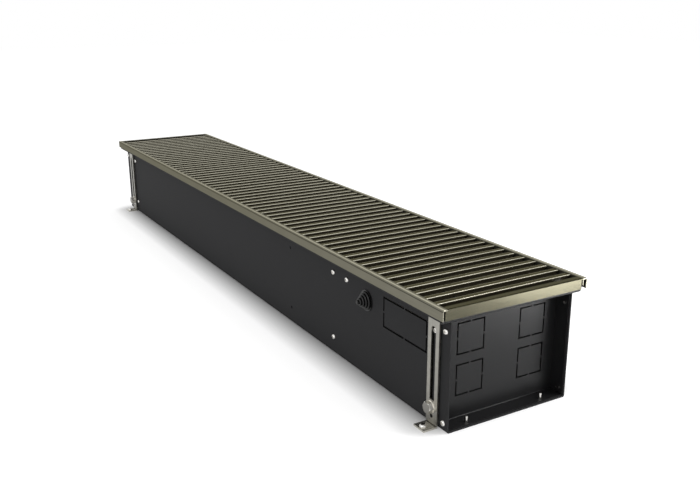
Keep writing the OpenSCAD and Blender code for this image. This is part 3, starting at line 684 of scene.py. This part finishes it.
# The clamp's outward face gets painted shade.
CLAMP_ZINC = Plated("clamp_zinc", paint(240, 237, 230), 0.34, shaded_face_from=101.7 * MM)
BRIGHT_ZINC = Plated("bright_zinc", paint(132, 130, 125), 0.22)
SPRING_STEEL = Plated("spring_steel", paint(190, 190, 190), 0.3, thread=1.2 * MM,
                      thread_depth=0.35 * MM, thread_along=Axis.X)
NICKEL = Plated("nickel_plated_brass", paint(196, 190, 178), 0.28)
COPPER = Plated("drawn_copper", paint(206, 132, 96), 0.34)
FIN_METAL = Plated("fin_aluminium", paint(206, 208, 212), 0.38)
RUBBER = Moulded("black_rubber", paint(14, 14, 14), 0.36, texture_depth=0.004 * MM)
SPACER = Moulded("spacer_plastic", paint(30, 30, 30), 0.5)
MOTOR = Moulded("motor_enamel", paint(62, 64, 67), 0.45, texture_size=1.2 * MM,
                texture_depth=0.05 * MM)
ROLLER = Moulded("roller_plastic", paint(52, 53, 55), 0.45)
BOX = Moulded("box_plastic", paint(96, 98, 100), 0.5)
KNOB = Moulded("knob_plastic", paint(226, 226, 222), 0.4, bloom=Blemish((0.4, 0.8), 0.6, 1.03))

CORNERS = ("front_right", "front_left", "rear_right", "rear_left")


@dataclass
class SubAssembly:
    """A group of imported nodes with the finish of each."""

    finishes: dict[str, Finish] = field(default_factory=dict)

    def build(self) -> None:
        """Dress every node of the group."""
        for node, finish in self.finishes.items():
            self.dress(node, finish)

    @staticmethod
    def dress(node: str, finish: Finish) -> None:
        """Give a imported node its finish.

        Args:
            node: The node's name.
            finish: What it is made of.
        """
        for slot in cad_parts[node].material_slots:
            slot.material = finish.material()
        log.info("%s wears %s", node, finish.name)


@dataclass
class Trough(SubAssembly):
    """The folded trough, its end plates, cross plates, gland and screws."""

    finishes: dict[str, Finish] = field(default_factory=lambda: {
        "trough_shell": BLACK_COAT,
        "end_plate_right": END_COAT,
        "end_plate_left": END_COAT,
        "partition_right": GALVANISED,
        "partition_left": GALVANISED,
        "cable_gland": RUBBER,
        "end_plate_screws": SCREW_ZINC,
        "partition_screws": SCREW_ZINC,
        "rail_screws": SCREW_ZINC,
    })


@dataclass
class GrilleFrame(SubAssembly):
    """The four frame profiles and the strips that the grille lies on."""

    finishes: dict[str, Finish] = field(default_factory=lambda: {
        "frame_side_front": BRONZE_LONG,
        "frame_side_rear": BRONZE_LONG,
        "frame_end_right": BRONZE_CROSS,
        "frame_end_left": BRONZE_CROSS,
        "grille_seat_strips": RUBBER,
    })


@dataclass
class Grille(SubAssembly):
    """The roll-out grille: bars, spacers and link springs."""

    finishes: dict[str, Finish] = field(default_factory=lambda: {
        "grille_bars": BRONZE_BAR,
        "grille_spacers": SPACER,
        "grille_link_springs": SPRING_STEEL,
    })


@dataclass
class Feet(SubAssembly):
    """The four foot rails with their feet, clamps and anchor screws."""

    finishes: dict[str, Finish] = field(default_factory=lambda: {
        f"{piece}_{corner}": finish
        for corner in CORNERS
        for piece, finish in (("foot_rail", GALVANISED), ("foot", FOOT_ZINC),
                              ("foot_clamp", CLAMP_ZINC), ("anchor_screw", SCREW_ZINC))
    })


@dataclass
class Exchanger(SubAssembly):
    """The finned exchanger with its tubes, valves and vent."""

    finishes: dict[str, Finish] = field(default_factory=lambda: {
        "exchanger_fins": FIN_METAL,
        "exchanger_tubes": COPPER,
        "supply_valve": NICKEL,
        "return_valve": NICKEL,
        "return_valve_cap": NICKEL,
        "union_nuts": NICKEL,
        "air_vent": NICKEL,
        "bleed_screw": NICKEL,
        "supply_valve_knob": KNOB,
    })


@dataclass
class FanUnit(SubAssembly):
    """The cross-flow fan with its motor, housings and terminal box."""

    finishes: dict[str, Finish] = field(default_factory=lambda: {
        "fan_housing_right": GALVANISED,
        "fan_housing_left": GALVANISED,
        "fan_motor": MOTOR,
        "motor_cradle": GALVANISED,
        "bearing_bushes": SPACER,
        "fan_shaft": BRIGHT_ZINC,
        "fan_roller_right": ROLLER,
        "fan_roller_left": ROLLER,
        "terminal_box": BOX,
        "terminal_box_lid": BOX,
    })


@dataclass(frozen=True)
class Lamp:
    """A soft rectangular lamp that faces a point and isn't seen by the camera."""

    name: str
    place: Point
    target: Point
    size: Span
    watts: float

    def hang(self) -> None:
        """Make the lamp and turn it to its target."""
        data = bpy.data.lights.new(self.name, "AREA")
        data.shape = "RECTANGLE"
        data.size, data.size_y = self.size
        data.energy = self.watts
        lamp = bpy.data.objects.new(self.name, data)
        lamp.location = self.place
        lamp.rotation_mode = "QUATERNION"
        facing = Vector(self.target) - Vector(self.place)
        lamp.rotation_quaternion = facing.to_track_quat("-Z", "Y")
        lamp.visible_camera = False
        bpy.context.scene.collection.objects.link(lamp)


@dataclass
class Studio:
    """A pale floor, a white surround and soft lamps.

    The floor shines by itself outside the trough's outline; the glow fades out near the walls, as
    a painted shadow.
    """

    floor_size: float = 14.0
    floor_colour: Colour = (0.6, 0.6, 0.6)
    floor_shine: float = 0.65
    shadow_reach: Span = (0.0, 0.05)
    trough_half: Span = (0.585, 0.09)
    surround: float = 0.6
    lamps: tuple[Lamp, ...] = (
        Lamp("overhead", (-0.1, 0.7, 2.4), (0.0, 0.0, 0.1), (3.2, 1.6), 14.5),
        Lamp("bar_light", (1.1, 1.0, 1.4), (0.45, 0.0, 0.12), (0.5, 0.5), 16.0),
        Lamp("floor_glow", (1.18, 0.64, 0.05), (1.18, 0.64, 0.0), (0.5, 0.7), 34.0),
        Lamp("front_fill", (0.9, -2.6, 1.2), (0.1, 0.0, 0.1), (2.2, 1.2), 12.0),
    )

    def build(self) -> None:
        """Make the floor, the surround and the lamps."""
        self._lay_floor()
        self._set_surround()
        for lamp in self.lamps:
            lamp.hang()

    def _lay_floor(self) -> None:
        """Lay the floor and give it its colour."""
        shape = bmesh.new()
        bmesh.ops.create_grid(shape, x_segments=1, y_segments=1, size=self.floor_size / 2)
        mesh = bpy.data.meshes.new("studio_floor")
        shape.to_mesh(mesh)
        shape.free()
        material = bpy.data.materials.new("studio_floor")
        graph = Graph(material)
        # Painted shadow: the glow fades to nothing within shadow_reach of the walls.
        shine = self._past_walls(graph).between(*self.shadow_reach) * self.floor_shine
        graph.surface({
            "Base Color": self.floor_colour,
            "Roughness": 1.0,
            "Specular IOR Level": 0.0,
            "Emission Color": graph.mix(shine * graph.seen(), BLACK, WHITE),
            "Emission Strength": 1.0,
        })
        mesh.materials.append(material)
        floor = bpy.data.objects.new("studio_floor", mesh)
        bpy.context.scene.collection.objects.link(floor)

    def _past_walls(self, graph: Graph) -> Socket:
        """Return the distance on the floor from the trough's walls, 0 under the trough."""
        length, width = (graph.maths("MAXIMUM", graph.axis(axis).size() - half, 0.0)
                         for axis, half in zip((Axis.X, Axis.Y), self.trough_half))
        return graph.maths("SQRT", length * length + width * width)

    def _set_surround(self) -> None:
        """Make the surround white where the camera or a reflection sees it."""
        world = bpy.data.worlds.new("studio")
        bpy.context.scene.world = world
        graph = Graph(world)
        strength = graph.seen() * (1.0 - self.surround) + self.surround
        shader = graph.add("ShaderNodeBackground", {}, {"Color": WHITE, "Strength": strength})
        graph.node("ShaderNodeOutputWorld", {}, {"Surface": shader})


@dataclass
class PhotoCamera:
    """The camera at the photograph's place, with its angle and field of view.

    Places are in metres, angles in degrees, and the lens and the sensor in millimetres.
    """

    place: Point = (1.28196, -0.60673, 0.47639)
    azimuth: float = 59.584
    elevation: float = 17.157
    roll: float = -0.122
    lens: float = 42.42
    sensor: float = 36.0
    nearest: float = 0.01

    def build(self) -> None:
        """Make the camera and choose it for the scene."""
        azimuth, elevation, roll = map(math.radians, (self.azimuth, self.elevation, self.roll))
        back = Vector((math.sin(azimuth) * math.cos(elevation),
                       -math.cos(azimuth) * math.cos(elevation), math.sin(elevation)))
        level = Vector((math.cos(azimuth), math.sin(azimuth), 0.0))
        rise = back.cross(level)
        right = level * math.cos(roll) + rise * math.sin(roll)
        up = rise * math.cos(roll) - level * math.sin(roll)
        data = bpy.data.cameras.new("photo_camera")
        data.lens = self.lens
        data.sensor_width = self.sensor
        data.clip_start = self.nearest
        camera = bpy.data.objects.new("photo_camera", data)
        camera.matrix_world = Matrix((right, up, back)).transposed().to_4x4()
        camera.location = self.place
        bpy.context.scene.collection.objects.link(camera)
        bpy.context.scene.camera = camera


def main() -> None:
    """Place the camera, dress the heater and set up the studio."""
    logging.basicConfig(level=logging.INFO, format="%(name)s: %(message)s")
    bpy.context.scene.view_settings.view_transform = "Standard"
    PhotoCamera().build()
    for assembly in (Trough(), GrilleFrame(), Grille(), Feet(), Exchanger(), FanUnit()):
        assembly.build()
    Studio().build()


if __name__ == "__main__":
    main()
